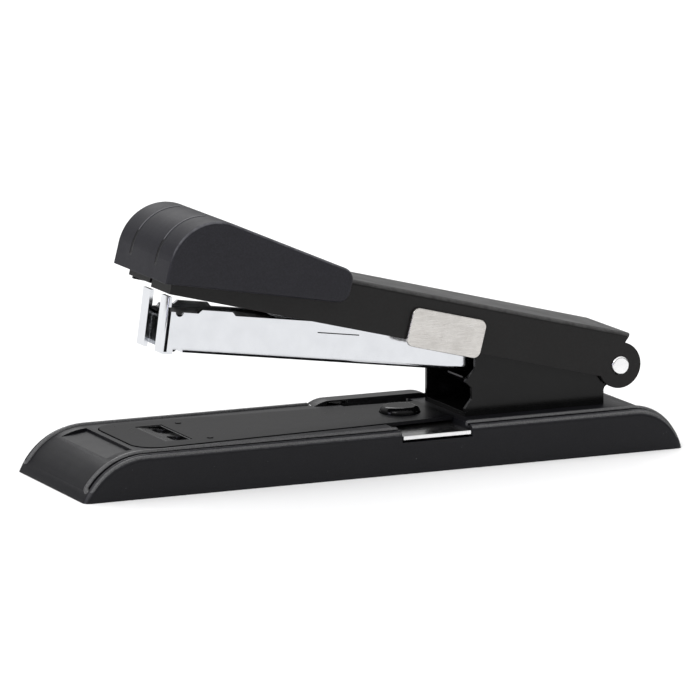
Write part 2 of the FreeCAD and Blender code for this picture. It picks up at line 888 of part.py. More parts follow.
def staple_rail():
    """The inverted channel that the staples straddle, with a slot in its top for the pusher."""
    body = new_body("staple_rail")
    add(body, "XZ", [box_loop(-slot_rear, magazine_floor, -rail_rear, rail_top)], -rail_side, rail_side)
    inner = rail_side - size("rail_sheet")
    tunnel = box_loop(-slot_rear - 1, magazine_floor - 1, 1 - rail_rear, rail_top - size("rail_sheet"))
    cut(body, "XZ", [tunnel], -inner, inner)
    half = size("rail_slot_width") / 2
    slot = box_loop(-strip_rear - size("rail_slot_width"), -half, -anchor_front, half)
    cut(body, "XY", [slot], rail_top - size("rail_sheet") - 1, rail_top + 1)
    place_magazine(body)


def staple_guide():
    """The black plate between the magazine's walls that keeps the staples on their rail."""
    body = new_body("staple_guide")
    outer = magazine_inside - size("pin_clearance")
    low = size("staple_leg") + magazine_floor + size("staple_wire") + size("spring_clearance")
    plate = box_loop(-slot_rear, low, size("guide_length") - slot_rear, low + size("rail_sheet"))
    add(body, "XZ", [plate], -outer, outer)
    place_magazine(body)


def straddle(body, rear, front, width, leg, sheet):
    """An inverted channel that stands on the magazine floor, over the rail."""
    low = magazine_floor + size("pin_clearance")
    high = low + leg
    add(body, "XZ", [box_loop(-front, low, -rear, high)], -width / 2, width / 2)
    inside = box_loop(-front - 1, low - 1, 1 - rear, high - sheet)
    cut(body, "XZ", [inside], sheet - width / 2, width / 2 - sheet)


def staple_strip():
    body = new_body("staple_strip")
    straddle(body, strip_rear, slot_rear, size("staple_crown"), size("staple_leg"), size("staple_wire"))
    place_magazine(body)


def staple_pusher():
    body = new_body("staple_pusher")
    straddle(body, pusher_rear, strip_rear, size("staple_crown"), size("staple_leg"), size("staple_wire"))
    lug_front = -strip_rear
    lug_rear = lug_front + size("rod_block_length")
    half = size("rail_slot_width") / 2 - size("spring_clearance")
    lug_low = rod_z - size("rod_radius") * 2
    lug_high = magazine_floor + size("staple_leg") - size("staple_wire") / 2
    add(body, "XZ", [box_loop(lug_front, lug_low, lug_rear, lug_high)], -half, half)
    rod_hole = size("rod_radius") + size("pin_clearance")
    cut(body, "YZ", [disc(0, rod_z, rod_hole)], lug_front - 1, lug_rear + 1)
    place_magazine(body)


def rod_blocks():
    """The two blocks inside the rail that hold the guide rod's ends."""
    body = new_body("rod_blocks")
    half = rail_side - size("rail_sheet")
    low = magazine_floor
    high = rail_top - size("rail_sheet")
    length = size("rod_block_length")
    for rear in (rail_rear, slot_rear - length):
        add(body, "XZ", [box_loop(-rear - length, low, -rear, high)], -half, half)
    cut(body, "YZ", [disc(0, rod_z, size("rod_radius"))], -slot_rear - 1, 1 - rail_rear)
    place_magazine(body)


def guide_rod():
    body = new_body("guide_rod")
    add(body, "YZ", [disc(0, rod_z, size("rod_radius"))], -slot_rear, -rail_rear)
    place_magazine(body)


def pusher_spring():
    """A sleeve of the coil's own size, round the guide rod, from the rear block to the pusher."""
    body = new_body("pusher_spring")
    inner = size("rod_radius") + size("pin_clearance")
    ring = [disc(0, rod_z, inner + size("spring_wire")), disc(0, rod_z, inner)]
    add(body, "YZ", ring, size("rod_block_length") - strip_rear, -anchor_front)
    place_magazine(body)


# ---------------------------------------------------------------- cover


def place_cover(body):
    place(body, pin_x, pin_z, size("cover_tilt"))


def cover_channel():
    body = new_body("cover_channel")
    low = -size("cover_drop")
    high = size("cover_rise")
    tail = size("cover_tail")
    ear = size("cover_ear")
    front = -size("cover_reach")
    outline = [(front, low), (0, low), (0, ear), (tail, high), (front, high)]
    add(body, "XZ", [outline], -cover_side, cover_side)
    add(body, "XZ", [disc(0, 0, ear)], -cover_side, cover_side)
    shoulder = lambda edge: along(edge, 0) and edge.BoundBox.ZMin > high.value - 0.01
    round_edges(body, size("cover_shoulder"), shoulder)
    flap_inner = front + size("cover_sheet")
    inside = box_loop(flap_inner, -ear - 1, ear + 1, cover_ceiling)
    cut(body, "XZ", [inside], -cover_inside, cover_inside)
    flap_gap = box_loop(front - 1, low - 1, flap_inner + 1, cover_ceiling)
    cut(body, "XZ", [flap_gap], -size("cover_flap_gap"), 0)
    raised = box_loop(front - 1, low - 1, flap_inner, low + size("cover_flap_step"))
    cut(body, "XZ", [raised], 0, cover_side + 1)
    nose_half = magazine_side + size("side_clearance")
    nose_gap = box_loop(flap_inner, -nose_half, -slot_rear + size("guide_length") / 2, nose_half)
    cut(body, "XY", [nose_gap], cover_ceiling - 1, high + 1)
    cut(body, "XZ", [disc(0, 0, pin_hole)], -cover_side - 1, cover_side + 1)
    cut(body, "XZ", [tab_stud_slot()], -cover_side - 1, size("cover_sheet") / 2 - cover_inside)
    rivets = [disc(blade_rivet_x(), y, size("stud_radius")) for y in blade_rivet_ys()]
    cut(body, "XY", rivets, cover_ceiling - 1, high + 1)
    place_cover(body)


def tab_stud_xs():
    offset = size("tab_length") / 6
    return [-tab_middle - offset, offset - tab_middle]


def tab_stud_slot():
    """The slot in the cover's near wall that the tab's studs slide along."""
    room = size("tab_travel") + size("spring_clearance")
    reach = size("tab_length") / 6 + size("stud_radius") + room
    return rounded_loop(
        -tab_middle - reach,
        -size("stud_radius") - size("pin_clearance"),
        reach - tab_middle,
        size("stud_radius") + size("pin_clearance"),
        size("stud_radius") * 0.9,
    )


def cap_outline():
    front = -size("cap_front")
    peak_x = front + size("cap_peak_back")
    rear = -cap_rear
    return [
        (front, -size("cap_front_drop")),
        (rear, size("cap_rear_bottom")),
        (rear, size("cap_rear_rise")),
        (peak_x, size("cap_peak_rise"), size("cap_front_radius")),
        (front, size("cap_front_rise")),
    ]


def palm_cap():
    body = new_body("palm_cap")
    add(body, "XZ", [cap_outline()], -cap_side, cap_side)
    rear_corner = lambda edge: along(edge, 1) and edge.BoundBox.XMin > -cap_rear.value - 0.01
    round_edges(body, size("cap_rear_radius"), rear_corner)
    round_edges(body, size("cap_edge"), lambda edge: edge.BoundBox.YLength < 0.01)
    high = size("cover_rise")
    front = size("cap_wall") - size("cap_front")
    seat = box_loop(front, -5, 1 - cap_rear, high)
    half = cover_side + size("pin_clearance")
    cut(body, "XZ", [seat], -half, half)
    hollow_rear = size("blade_shoulder") - blade_front + size("spring_clearance")
    rivet_top = high + size("blade_thickness") + blade_rivet_head
    hollow = [
        (front, high - 1),
        (hollow_rear, high - 1),
        (hollow_rear, rivet_top + size("spring_clearance")),
        (size("cap_peak_back") - size("cap_front"), size("cap_peak_rise") - size("cap_wall")),
        (front, size("cap_front_rise") + size("cap_wall") * 2),
    ]
    cut(body, "XZ", [hollow], size("cap_wall") * 2 - cap_side, cap_side - size("cap_wall") * 2)
    place_cover(body)


def driver_blade():
    """The blade that drives a staple out, hung from a flange on the cover's top."""
    body = new_body("driver_blade")
    high = size("cover_rise")
    thick = size("blade_thickness")
    front = -blade_front
    rear = front + size("blade_shoulder")
    outline = [
        (front, -size("blade_drop")),
        (-blade_rear, -size("blade_drop")),
        (-blade_rear, high),
        (rear, high),
        (rear, high + thick),
        (front, high + thick),
    ]
    add(body, "XZ", [outline], -blade_half, blade_half)
    rivets = [disc(blade_rivet_x(), y, size("stud_radius")) for y in blade_rivet_ys()]
    cut(body, "XY", rivets, high - 1, high + thick + 1)
    place_cover(body)


def blade_rivet_x():
    return size("blade_shoulder") - blade_front - size("stud_radius") * 2


def blade_rivet_ys():
    return [blade_half / 2, -blade_half / 2]


def blade_rivets():
    body = new_body("blade_rivets")
    shanks = [disc(blade_rivet_x(), y, size("stud_radius")) for y in blade_rivet_ys()]
    high = size("cover_rise") + size("blade_thickness")
    add(body, "XY", shanks, cover_ceiling, high)
    heads = [disc(blade_rivet_x(), y, size("stud_radius") * 1.6) for y in blade_rivet_ys()]
    add(body, "XY", heads, high, high + blade_rivet_head)
    place_cover(body)


def return_spring():
    """The leaf under the cover that lifts it off the magazine again."""
    body = new_body("return_spring")
    thick = size("leaf_thickness")
    top = cover_ceiling
    front = -size("cap_front") * 0.8
    flat_rear = front + size("leaf_width")
    tip = front + size("magazine_reach") * 0.4
    rail_slope = (size("cover_tilt") - size("magazine_tilt")).sine()
    tip_z = rail_top + tip * rail_slope + thick + size("pin_clearance")
    outline = [
        (front, top - thick),
        (flat_rear, top - thick),
        (tip, tip_z - thick),
        (tip, tip_z),
        (flat_rear, top),
        (front, top),
    ]
    add(body, "XZ", [outline], -size("leaf_width") / 2, size("leaf_width") / 2)
    place_cover(body)


# ---------------------------------------------------------------- latch tab


def side_tab():
    body = new_body("side_tab")
    low = -size("tab_drop")
    high = size("tab_rise")
    add(
        body,
        "XZ",
        [rounded_loop(-tab_front, low, -size("tab_rear"), high, size("tab_corner"))],
        -tab_outside,
        -tab_inside,
    )
    lip_high = -size("cover_drop") - size("pin_clearance") * 2
    corner = size("tab_corner")
    lip = box_loop(-tab_front + corner, low, -size("tab_rear") - corner, lip_high)
    add(body, "XZ", [lip], -tab_outside, -cover_inside)
    place_cover(body)


def tab_studs():
    body = new_body("tab_studs")
    shanks = [disc(x, 0, size("stud_radius")) for x in tab_stud_xs()]
    add(body, "XZ", shanks, -tab_inside, size("pin_clearance") - cover_inside)
    place_cover(body)


def latch_plate():
    """The plate inside the cover that the tab carries, held to it by the studs."""
    body = new_body("latch_plate")
    outer = cover_inside - size("pin_clearance")
    inner = outer - size("tab_thickness")
    reach = size("tab_length") / 6 + size("stud_radius") * 1.6
    low = size("tab_travel") / 2 - size("cover_drop")
    outline = box_loop(-tab_middle - reach, low, reach - tab_middle, size("tab_rise"))
    add(body, "XZ", [outline], -outer, -inner)
    place_cover(body)


# ---------------------------------------------------------------- build and write

BUILDERS = [
    base_shell,
    base_sole,
    base_weight,
    anvil_plate,
    anvil_studs,
    clinch_die,
    release_plate,
    release_button,
    finger_tab,
    release_spring,
    hinge_bracket,
    bracket_rivets,
    hinge_pin,
    pin_spacers,
    lift_spring,
    magazine_channel,
    staple_rail,
    staple_guide,
    staple_strip,
    staple_pusher,
    rod_blocks,
    guide_rod,
    pusher_spring,
    cover_channel,
    palm_cap,
    driver_blade,
    blade_rivets,
    return_spring,
    side_tab,
    tab_studs,
    latch_plate,
]

for build in BUILDERS:
    build()
doc.recompute()

for thing in doc.Objects:
    if "Invalid" in thing.State or "Error" in thing.State:
        raise ValueError(thing.Label + " failed: " + str(thing.State))
for part in PARTS:
    if part.Shape.isNull() or not part.Shape.isValid():
        raise ValueError(part.Label + " has no valid shape")

os.makedirs("parts", exist_ok=True)
for part in PARTS:
    part.Shape.exportStep(os.path.join("parts", part.Label + ".step"))
    box = part.Shape.BoundBox
    print(part.Label, len(part.Shape.Solids), round(part.Shape.Volume, 1), [round(v, 2) for v in (
        box.XMin, box.YMin, box.ZMin, box.XMax, box.YMax, box.ZMax)])
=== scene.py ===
import json
import math

import bmesh
import bpy
from mathutils import Matrix, Vector


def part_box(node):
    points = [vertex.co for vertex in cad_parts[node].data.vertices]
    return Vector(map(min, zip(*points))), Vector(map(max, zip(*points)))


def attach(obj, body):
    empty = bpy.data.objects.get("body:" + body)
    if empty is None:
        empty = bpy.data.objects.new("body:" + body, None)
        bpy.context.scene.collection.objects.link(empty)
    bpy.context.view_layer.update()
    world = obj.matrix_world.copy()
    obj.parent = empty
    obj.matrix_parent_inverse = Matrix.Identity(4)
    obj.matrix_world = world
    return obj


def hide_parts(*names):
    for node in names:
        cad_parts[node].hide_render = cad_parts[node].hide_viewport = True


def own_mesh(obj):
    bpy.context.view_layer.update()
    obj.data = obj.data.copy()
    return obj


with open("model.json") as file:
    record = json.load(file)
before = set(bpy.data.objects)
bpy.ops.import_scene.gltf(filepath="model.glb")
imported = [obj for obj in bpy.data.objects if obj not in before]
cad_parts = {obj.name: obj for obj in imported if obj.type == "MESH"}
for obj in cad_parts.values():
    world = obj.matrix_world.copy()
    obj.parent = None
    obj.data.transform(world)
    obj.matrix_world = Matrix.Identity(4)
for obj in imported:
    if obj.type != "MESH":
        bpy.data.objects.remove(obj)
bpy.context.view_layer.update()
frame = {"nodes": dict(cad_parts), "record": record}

MM = 0.001
NODES = frame["nodes"]

# The object's own sizes, in millimetres. Reaches are measured from the hinge pin along an arm.
BASE_HALF = 75.0
RIM = 10.0
FLAT_FRONT = 60.0            # where the base's top starts to curve down, from the middle
FLAT_REAR = 62.5
BEAD_INNER = 17.2            # the rolled edge's two lines, from the middle plane
BEAD_OUTER = 19.6
BEAD_THICK = 0.75            # its radius on the inner line, and on the outer one
BEAD_THIN = 0.5
BEAD_SUNK = 0.2              # how far its centre lies under the skin on each line
BEAD_DROP = 0.75
BEAD_LEAN = 0.7
BEAD_TURN_FRONT = 75.3
BEAD_TURN_REAR = 76.2
BEAD_GAP_NEAR = 0.6          # between a bead's end and the plate or grip that interrupts it
BEAD_GAP_FAR = 0.8
MAGAZINE_TILT = math.radians(7.9)
COVER_TILT = math.radians(14.2)
STAPLE_WIRE = 0.5
SEAM_FLOOR = 7.0             # the floor of the gap in the magazine's side, from the middle plane
ROD_DROP = 0.8
COIL_FRONT = 95.25           # the pusher spring's ends
COIL_REAR = 33.5
COIL_RADIUS = 1.35
COIL_WIRE = 0.3
COIL_TURNS = 26
CAP_FRONT = 118.9
CAP_RADIUS = 11.3            # the cap's front rounding, and its centre
CAP_CENTRE = 107.6
CAP_SPRING = 4.0
CAP_LINE = 7.2               # the raised lines, from the middle plane
LINE_RADIUS = 0.22
LINE_START = 22              # their ends, in degrees round the cap's front
LINE_END = 80
GROOVE_LOW = 2.7             # the ends of the grooves below them
GROOVE_HIGH = 8.3
ARROW_LENGTH = 7.0
EDGE_WIDTH = 0.12
EDGE_WIDTHS = {
    "palm_cap": 0.25,
    "hinge_bracket": 0.25,
    "magazine_channel": 0.3,
    "cover_channel": 0.2,
    "side_tab": 0.2,
}
PIN = sum((Vector(corner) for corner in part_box("hinge_pin")), Vector()) / 2


def arm_turn(direction, tilt):
    return Matrix.Rotation(tilt, 3, "Y") @ direction


def arm_point(reach, height, tilt):
    """A point a reach forward of the hinge pin and a height above it, on an arm that is tilted."""
    return PIN + arm_turn(Vector((-reach, 0, height)) * MM, tilt)


# ---------------------------------------------------------------- camera, floor and light

VIEW_TURN = 0.43167          # radians from straight at the near side, towards the head
VIEW_TILT = 0.18687
VIEW_DISTANCE = 1.45405
VIEW_ASIDE = -0.000744
VIEW_UP = 0.025123
VIEW_LENS = 325.3
VIEW_SENSOR = 36
FLOOR_HALF = 6.0


def make_camera():
    right = Vector((math.cos(VIEW_TURN), -math.sin(VIEW_TURN), 0))
    level = Vector((-math.sin(VIEW_TURN), -math.cos(VIEW_TURN), 0))
    back = level * math.cos(VIEW_TILT) + Vector((0, 0, math.sin(VIEW_TILT)))
    up = back.cross(right)
    place = right * VIEW_ASIDE + up * VIEW_UP + back * VIEW_DISTANCE
    data = bpy.data.cameras.new("camera")
    data.lens = VIEW_LENS
    data.sensor_width = VIEW_SENSOR
    data.clip_start = 0.05
    data.clip_end = 20
    camera = bpy.data.objects.new("camera", data)
    turn = Matrix((right, up, back)).transposed().to_4x4()
    camera.matrix_world = Matrix.Translation(place) @ turn
    bpy.context.collection.objects.link(camera)
    bpy.context.scene.camera = camera


def area_light(name, place, target, width, height, power, color=(1, 1, 1)):
    data = bpy.data.lights.new(name, "AREA")
    data.color = color
    data.shape = "RECTANGLE"
    data.size = width
    data.size_y = height
    data.energy = power
    light = bpy.data.objects.new(name, data)
    light.location = place
    light.rotation_euler = (Vector(target) - Vector(place)).to_track_quat("-Z", "Y").to_euler()
    bpy.context.collection.objects.link(light)


def make_studio():
    """A white floor under a world that is dim at the horizon and bright overhead, and three soft lights."""
    bpy.context.scene.view_settings.view_transform = "Standard"
    world = bpy.data.worlds.new("studio")
    bpy.context.scene.world = world
    world.use_nodes = True
    nodes, links = world.node_tree.nodes, world.node_tree.links
    where = nodes.new("ShaderNodeTexCoord")
    height = axes(nodes, links, where.outputs["Generated"])["Z"]
    nodes["Background"].inputs["Color"].default_value = (1, 1, 1, 1)
    strength = ramp(nodes, links, height, 0.15, 0.7, 0.2, 1.3)
    links.new(strength, nodes["Background"].inputs["Strength"])
    mesh = bpy.data.meshes.new("floor")
    corners = [(x * FLOOR_HALF, y * FLOOR_HALF, 0) for x, y in ((-1, -1), (1, -1), (1, 1), (-1, 1))]
    mesh.from_pydata(corners, [], [(0, 1, 2, 3)])
    floor = bpy.data.objects.new("floor", mesh)
    bpy.context.collection.objects.link(floor)
    surface = bpy.data.materials.new("floor")
    surface.use_nodes = True
    shader = surface.node_tree.nodes["Principled BSDF"]
    shader.inputs["Base Color"].default_value = (0.93, 0.93, 0.93, 1)
    shader.inputs["Roughness"].default_value = 0.9
    mesh.materials.append(surface)
    middle = (0, 0, 0.03)
    area_light("key", (-1.6, -0.9, 1.5), middle, 0.9, 0.9, 12)
    area_light("back", (0.4, 1.6, 1.4), middle, 0.9, 0.6, 8)
    area_light("front", (-2.2, -0.15, 0.5), middle, 0.6, 0.5, 5, (0.8, 0.78, 1.0))


# ---------------------------------------------------------------- materials


SURFACES = {}


def new_surface(name):
    surface = bpy.data.materials.new(name)
    surface.use_nodes = True
    SURFACES[name] = surface
    return open_surface(name)


def open_surface(name):
    tree = SURFACES[name].node_tree
    return tree.nodes, tree.links, tree.nodes["Principled BSDF"]


def object_coordinates(nodes, links, scale=(1, 1, 1)):
    """Object coordinates in millimetres times the scale, on each axis."""
    where = nodes.new("ShaderNodeTexCoord")
    mapping = nodes.new("ShaderNodeMapping")
    mapping.inputs["Scale"].default_value = [1000 * part for part in scale]
    links.new(where.outputs["Object"], mapping.inputs["Vector"])
    return mapping.outputs["Vector"]


def noise(nodes, links, place, scale, detail, rough):
    texture = nodes.new("ShaderNodeTexNoise")
    texture.inputs["Scale"].default_value = scale
    texture.inputs["Detail"].default_value = detail
    texture.inputs["Roughness"].default_value = rough
    links.new(place, texture.inputs["Vector"])
    return texture.outputs["Fac"]


def ramp(nodes, links, value, low, high, low_out, high_out):
    span = nodes.new("ShaderNodeMapRange")
    span.inputs["From Min"].default_value = low
    span.inputs["From Max"].default_value = high
    span.inputs["To Min"].default_value = low_out
    span.inputs["To Max"].default_value = high_out
    links.new(value, span.inputs["Value"])
    return span.outputs["Result"]


def mix_colors(nodes, links, factor, first, second):
    mix = nodes.new("ShaderNodeMix")
    mix.data_type = "RGBA"
    mix.inputs["A"].default_value = (*first, 1)
    mix.inputs["B"].default_value = (*second, 1)
    links.new(factor, mix.inputs["Factor"])
    return mix.outputs["Result"]


def bump(nodes, links, height, distance, before=None):
    node = nodes.new("ShaderNodeBump")
    node.inputs["Distance"].default_value = distance
    node.inputs["Strength"].default_value = 1.0
    links.new(height, node.inputs["Height"])
    if before is not None:
        links.new(before, node.inputs["Normal"])
    return node.outputs["Normal"]


def lay_over(nodes, links, shader, share, color):
    """Where the share is 1 the shader takes this colour, and elsewhere it keeps the one it had."""
    before = shader.inputs["Base Color"].links[0].from_socket
    mix = nodes.new("ShaderNodeMix")
    mix.data_type = "RGBA"
    links.new(before, mix.inputs["A"])
    mix.inputs["B"].default_value = (*color, 1)
    links.new(share, mix.inputs["Factor"])
    links.new(mix.outputs["Result"], shader.inputs["Base Color"])


def bump_more(nodes, links, shader, height, distance):
    """One more layer of bump over the shader's own."""
    before = shader.inputs["Normal"].links[0].from_socket
    links.new(bump(nodes, links, height, distance * MM, before), shader.inputs["Normal"])


def coated(name, dark, light, rough, grain, grain_depth, specular):
    """A painted or moulded skin: a fine grain, cloudy roughness and a faint change of colour."""
    nodes, links, shader = new_surface(name)
    place = object_coordinates(nodes, links)
    fine = noise(nodes, links, place, grain, 3, 0.6)
    cloud = noise(nodes, links, place, 0.12, 4, 0.6)
    color = mix_colors(nodes, links, ramp(nodes, links, fine, 0.35, 0.7, 0, 1), dark, light)
    links.new(color, shader.inputs["Base Color"])
    links.new(ramp(nodes, links, cloud, 0.3, 0.7, rough * 0.9, rough * 1.12), shader.inputs["Roughness"])
    links.new(bump(nodes, links, fine, grain_depth * MM), shader.inputs["Normal"])
    shader.inputs["Specular IOR Level"].default_value = specular


def metal(name, color, shade, rough, along, line_depth):
    """Bare or plated metal, with fine drawing lines along X and faint cloudy tarnish."""
    nodes, links, shader = new_surface(name)
    place = object_coordinates(nodes, links)
    stretched = object_coordinates(nodes, links, along)
    streaks = noise(nodes, links, stretched, 6.0, 2, 0.5)
    cloud = noise(nodes, links, place, 0.25, 4, 0.6)
    tint = mix_colors(nodes, links, ramp(nodes, links, cloud, 0.35, 0.75, 0, 1), color, shade)
    links.new(tint, shader.inputs["Base Color"])
    links.new(ramp(nodes, links, streaks, 0.3, 0.7, rough * 0.7, rough * 1.3), shader.inputs["Roughness"])
    links.new(bump(nodes, links, streaks, line_depth * MM), shader.inputs["Normal"])
    shader.inputs["Metallic"].default_value = 1.0


def math_node(nodes, links, operation, first, second=None):
    """The operation on a socket, and on a second socket or number."""
    node = nodes.new("ShaderNodeMath")
    node.operation = operation
    links.new(first, node.inputs[0])
    if isinstance(second, (int, float)):
        node.inputs[1].default_value = second
    elif second is not None:
        links.new(second, node.inputs[1])
    return node.outputs[0]


def masked(nodes, links, value, middle, half_width, soft):
    """1 where the value is within the half width of the middle, falling softly to 0 outside."""
    away = math_node(nodes, links, "SUBTRACT", value, middle)
    size = math_node(nodes, links, "ABSOLUTE", away)
    return ramp(nodes, links, size, half_width, half_width + soft, 1, 0)


def times(nodes, links, first, second):
    return math_node(nodes, links, "MULTIPLY", first, second)


def axes(nodes, links, place):
    split = nodes.new("ShaderNodeSeparateXYZ")
    links.new(place, split.inputs[0])
    return split.outputs


def add_specks(name, color, amount, size):
    """Scattered light specks of dust or wear over a dark skin."""
    nodes, links, shader = open_surface(name)
    place = object_coordinates(nodes, links)
    cells = nodes.new("ShaderNodeTexVoronoi")
    cells.inputs["Scale"].default_value = size
    links.new(place, cells.inputs["Vector"])
    near = ramp(nodes, links, cells.outputs["Distance"], 0.06, 0.16, 1, 0)
    cloud = ramp(nodes, links, noise(nodes, links, place, 0.35, 2, 0.5), amount, amount + 0.06, 0, 1)
    lay_over(nodes, links, shader, times(nodes, links, near, cloud), color)


def add_painted_edge_highlight(name, color):
    """A painted highlight: a lighter line along the long upper edges, where the skin turns from top to side
    and faces up, broken up by noise.
    """
    nodes, links, shader = open_surface(name)
    facing = nodes.new("ShaderNodeTexCoord")
    split = axes(nodes, links, facing.outputs["Normal"])
    beside = math_node(nodes, links, "ABSOLUTE", split["Y"])
    sideways = ramp(nodes, links, beside, 0.2, 0.45, 0, 1)
    upwards = ramp(nodes, links, split["Z"], 0.2, 0.45, 0, 1)
    grain = noise(nodes, links, object_coordinates(nodes, links), 0.8, 3, 0.6)
    cloud = ramp(nodes, links, grain, 0.35, 0.6, 0.4, 1)
    # The painted highlight's share: faces turned both sideways and up.
    share = times(nodes, links, times(nodes, links, sideways, upwards), cloud)
    lay_over(nodes, links, shader, share, color)


def add_cap_grooves(name):
    """Two short grooves down the cap's front, below its raised lines, bumped in and coloured darker as
    painted shade.
    """
    nodes, links, shader = open_surface(name)
    where = axes(nodes, links, object_coordinates(nodes, links))
    near = masked(nodes, links, where["Y"], -CAP_LINE, 0.35, 0.25)
    far = masked(nodes, links, where["Y"], CAP_LINE, 0.35, 0.25)
    strip = math_node(nodes, links, "MAXIMUM", far, near)
    low = arm_point(CAP_FRONT, GROOVE_LOW, COVER_TILT) / MM
    high = arm_point(CAP_FRONT, GROOVE_HIGH, COVER_TILT) / MM
    tall = masked(nodes, links, where["Z"], (low.z + high.z) / 2, (high.z - low.z) / 2, 0.5)
    front = ramp(nodes, links, where["X"], high.x + 4, high.x + 5, 1, 0)
    groove = times(nodes, links, times(nodes, links, strip, tall), front)
    bump_more(nodes, links, shader, times(nodes, links, groove, -1.0), 0.8)
    # Painted shade: the grooves are coloured darker than the cap.
    lay_over(nodes, links, shader, groove, (0.004, 0.004, 0.005))


def add_nose_seam_painted_shade(name):
    """Painted shade in the gap down each side of the magazine's nose, where the front is bent round: the
    gap's side-facing floor is coloured dark.
    """
    nodes, links, shader = open_surface(name)
    facing = nodes.new("ShaderNodeTexCoord")
    turned = axes(nodes, links, facing.outputs["Normal"])["Y"]
    where = axes(nodes, links, object_coordinates(nodes, links))["Y"]
    flat = ramp(nodes, links, math_node(nodes, links, "ABSOLUTE", turned), 0.8, 0.9, 0, 1)
    floor = masked(nodes, links, math_node(nodes, links, "ABSOLUTE", where), SEAM_FLOOR, 0.05, 0.05)
    # Painted shade on the floor of the gap.
    lay_over(nodes, links, shader, times(nodes, links, flat, floor), (0.008, 0.008, 0.009))


def add_wire_lines(name, tilt, pitch):
    """The grooves between the wires of a strip of staples that lies at a tilt."""
    nodes, links, shader = open_surface(name)
    where = nodes.new("ShaderNodeTexCoord")
    turn = nodes.new("ShaderNodeMapping")
    turn.inputs["Scale"].default_value = (1000, 1000, 1000)
    turn.inputs["Rotation"].default_value = (0, -tilt, 0)
    links.new(where.outputs["Object"], turn.inputs["Vector"])
    wave = nodes.new("ShaderNodeTexWave")
    wave.bands_direction = "X"
    wave.inputs["Scale"].default_value = 1 / (pitch * 3.18)
    links.new(turn.outputs["Vector"], wave.inputs["Vector"])
    bump_more(nodes, links, shader, wave.outputs["Fac"], 0.12)


def make_surfaces():
    # name, two colours, roughness, grain and its depth, specular
    coated("base_paint", (0.0048, 0.0048, 0.0062), (0.0082, 0.0082, 0.0105), 0.40, 3.4, 0.022, 0.2)
    # The beads' paint is a much lighter copy of the base's paint: a painted highlight along the rolled
    # edges.
    coated("bead_painted_highlight", (0.030, 0.030, 0.031), (0.105, 0.105, 0.108), 0.42, 4.0, 0.05, 0.5)
    # The cap's raised lines take a lighter copy of the cap's plastic: a painted highlight.
    coated("cap_line_painted_highlight", (0.075, 0.075, 0.082), (0.12, 0.12, 0.13), 0.45, 3.0, 0.01, 0.3)
    coated("grip_paint", (0.012, 0.012, 0.013), (0.018, 0.018, 0.019), 0.4, 3.0, 0.01, 0.25)
    coated("sole_rubber", (0.010, 0.010, 0.010), (0.018, 0.018, 0.018), 0.8, 2.0, 0.05, 0.2)
    coated("anvil_paint", (0.0040, 0.0040, 0.0048), (0.0060, 0.0060, 0.007), 0.30, 2.0, 0.004, 0.1)
    coated("bracket_enamel", (0.0035, 0.0035, 0.0036), (0.005, 0.005, 0.0052), 0.2, 0.6, 0.008, 0.2)
    coated("black_gloss", (0.0025, 0.0025, 0.0028), (0.004, 0.004, 0.0043), 0.14, 0.6, 0.006, 0.14)
    coated("cover_paint", (0.0060, 0.0056, 0.0056), (0.0085, 0.0080, 0.0080), 0.33, 2.2, 0.005, 0.22)
    coated("cap_plastic", (0.0070, 0.0068, 0.0100), (0.0130, 0.0126, 0.0180), 0.5, 3.0, 0.02, 0.28)
    coated("rail_black", (0.004, 0.004, 0.004), (0.007, 0.007, 0.007), 0.3, 1.5, 0.006, 0.3)
    coated("guide_black", (0.0035, 0.0035, 0.0035), (0.006, 0.006, 0.006), 0.3, 1.5, 0.006, 0.2)
    # name, two colours, roughness, how far the drawing lines are stretched, their depth
    metal("magazine_chrome", (0.66, 0.672, 0.695), (0.61, 0.622, 0.645), 0.12, (0.05, 1, 1), 0.0015)
    metal("bright_steel", (0.82, 0.82, 0.82), (0.7, 0.7, 0.71), 0.2, (0.2, 1, 1), 0.004)
    metal("plated_steel", (0.55, 0.55, 0.56), (0.42, 0.42, 0.44), 0.3, (0.2, 1, 1), 0.006)
    metal("spring_steel", (0.05, 0.05, 0.053), (0.025, 0.025, 0.027), 0.35, (0.2, 1, 1), 0.004)
    metal("die_steel", (0.10, 0.10, 0.105), (0.03, 0.03, 0.032), 0.25, (0.3, 1, 1), 0.006)
    metal("staple_wire", (0.66, 0.66, 0.67), (0.5, 0.5, 0.52), 0.25, (1, 0.1, 1), 0.004)
    metal("tab_nickel", (0.62, 0.60, 0.575), (0.52, 0.50, 0.475), 0.3, (0.05, 1, 1), 0.003)
    add_specks("base_paint", (0.10, 0.10, 0.105), 0.62, 1.3)
    add_specks("anvil_paint", (0.25, 0.25, 0.25), 0.66, 1.0)
    # Painted highlights along the upper edges of the cap, cover and base.
    add_painted_edge_highlight("cap_plastic", (0.085, 0.085, 0.095))
    add_painted_edge_highlight("cover_paint", (0.045, 0.044, 0.044))
    add_painted_edge_highlight("base_paint", (0.04, 0.04, 0.044))
    add_cap_grooves("cap_plastic")
    add_nose_seam_painted_shade("magazine_chrome")
    add_wire_lines("staple_wire", MAGAZINE_TILT, STAPLE_WIRE)


def dress_nodes():
    """Every CAD node gets its slot's surface, or the grip its own, and softly broken edges."""
    slots = {row["node"]: row["material_slot"] for row in frame["record"]["subparts"]}
    for name, node in NODES.items():
        node.data.materials.clear()
        node.data.materials.append(SURFACES["grip_paint" if name == "finger_tab" else slots[name]])
        weld = node.modifiers.new("weld", "WELD")
        weld.merge_threshold = 1e-6
        flat = node.modifiers.new("flat", "DECIMATE")
        flat.decimate_type = "DISSOLVE"
        flat.angle_limit = math.radians(0.3)
        edge = node.modifiers.new("edge", "BEVEL")
        edge.width = EDGE_WIDTHS.get(name, EDGE_WIDTH) * MM
        edge.segments = 3
        edge.limit_method = "ANGLE"
        edge.angle_limit = math.radians(40)
        edge.harden_normals = True


# ---------------------------------------------------------------- pieces


